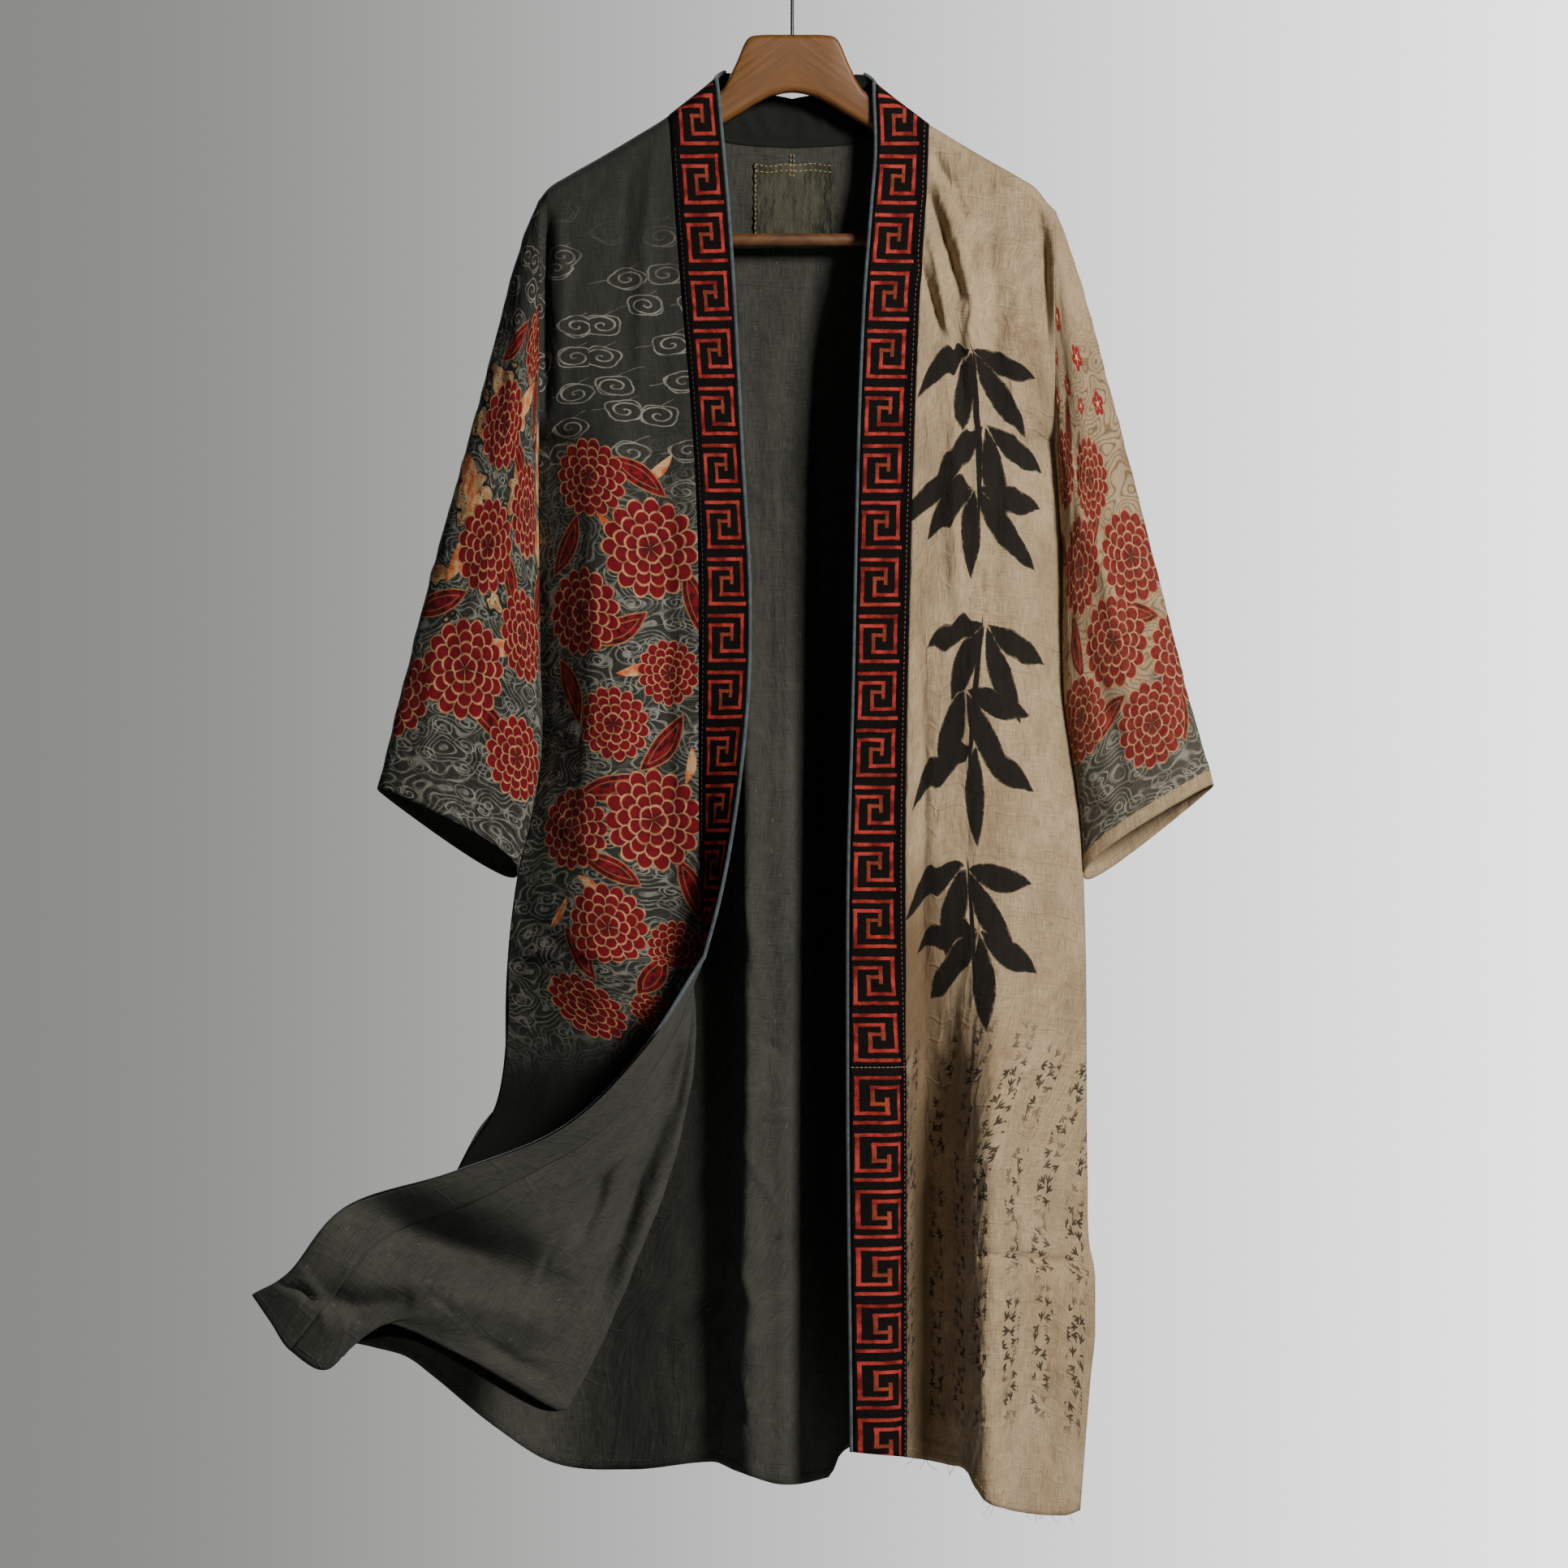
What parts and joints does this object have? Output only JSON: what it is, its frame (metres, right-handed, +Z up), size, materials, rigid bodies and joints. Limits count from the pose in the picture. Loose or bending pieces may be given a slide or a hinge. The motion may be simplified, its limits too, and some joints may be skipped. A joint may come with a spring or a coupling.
{
  "type": "kimono robe on a wooden hanger",
  "caption": "Long open kimono robe with wide sleeves, key-pattern neckbands and one front swept aside, hanging on a wooden hanger with a trouser bar and a wire hook.",
  "frame": {"origin": "inside top of the hook's curve, where a rail carries the hanger", "axes": "+Z up along the hook and the robe's length, the robe's open front facing -Y, +X to the viewer's right"},
  "size_m": [0.8683, 0.254, 1.4308],
  "materials": {
    "charcoal_linen": "matte woven",
    "tan_linen": "matte aged woven",
    "key_band": "matte printed",
    "piping": "satin cord",
    "wood": "satin varnish",
    "wire": "dark satin"
  },
  "bodies": {
    "root": {"back": "charcoal_linen", "back_patch": "charcoal_linen", "front_dark": "charcoal_linen", "front_tan": "tan_linen", "sleeve_dark": "charcoal_linen", "sleeve_tan": "tan_linen", "neckband_dark": "key_band", "neckband_back": "key_band", "neckband_tan": "key_band", "neckband_tan_lower": "key_band", "piping_dark": "piping", "piping_tan": "piping", "hanger_yoke": "wood", "hanger_bar": "wood", "hanger_hook": "wire"}
  },
  "joints": []
}
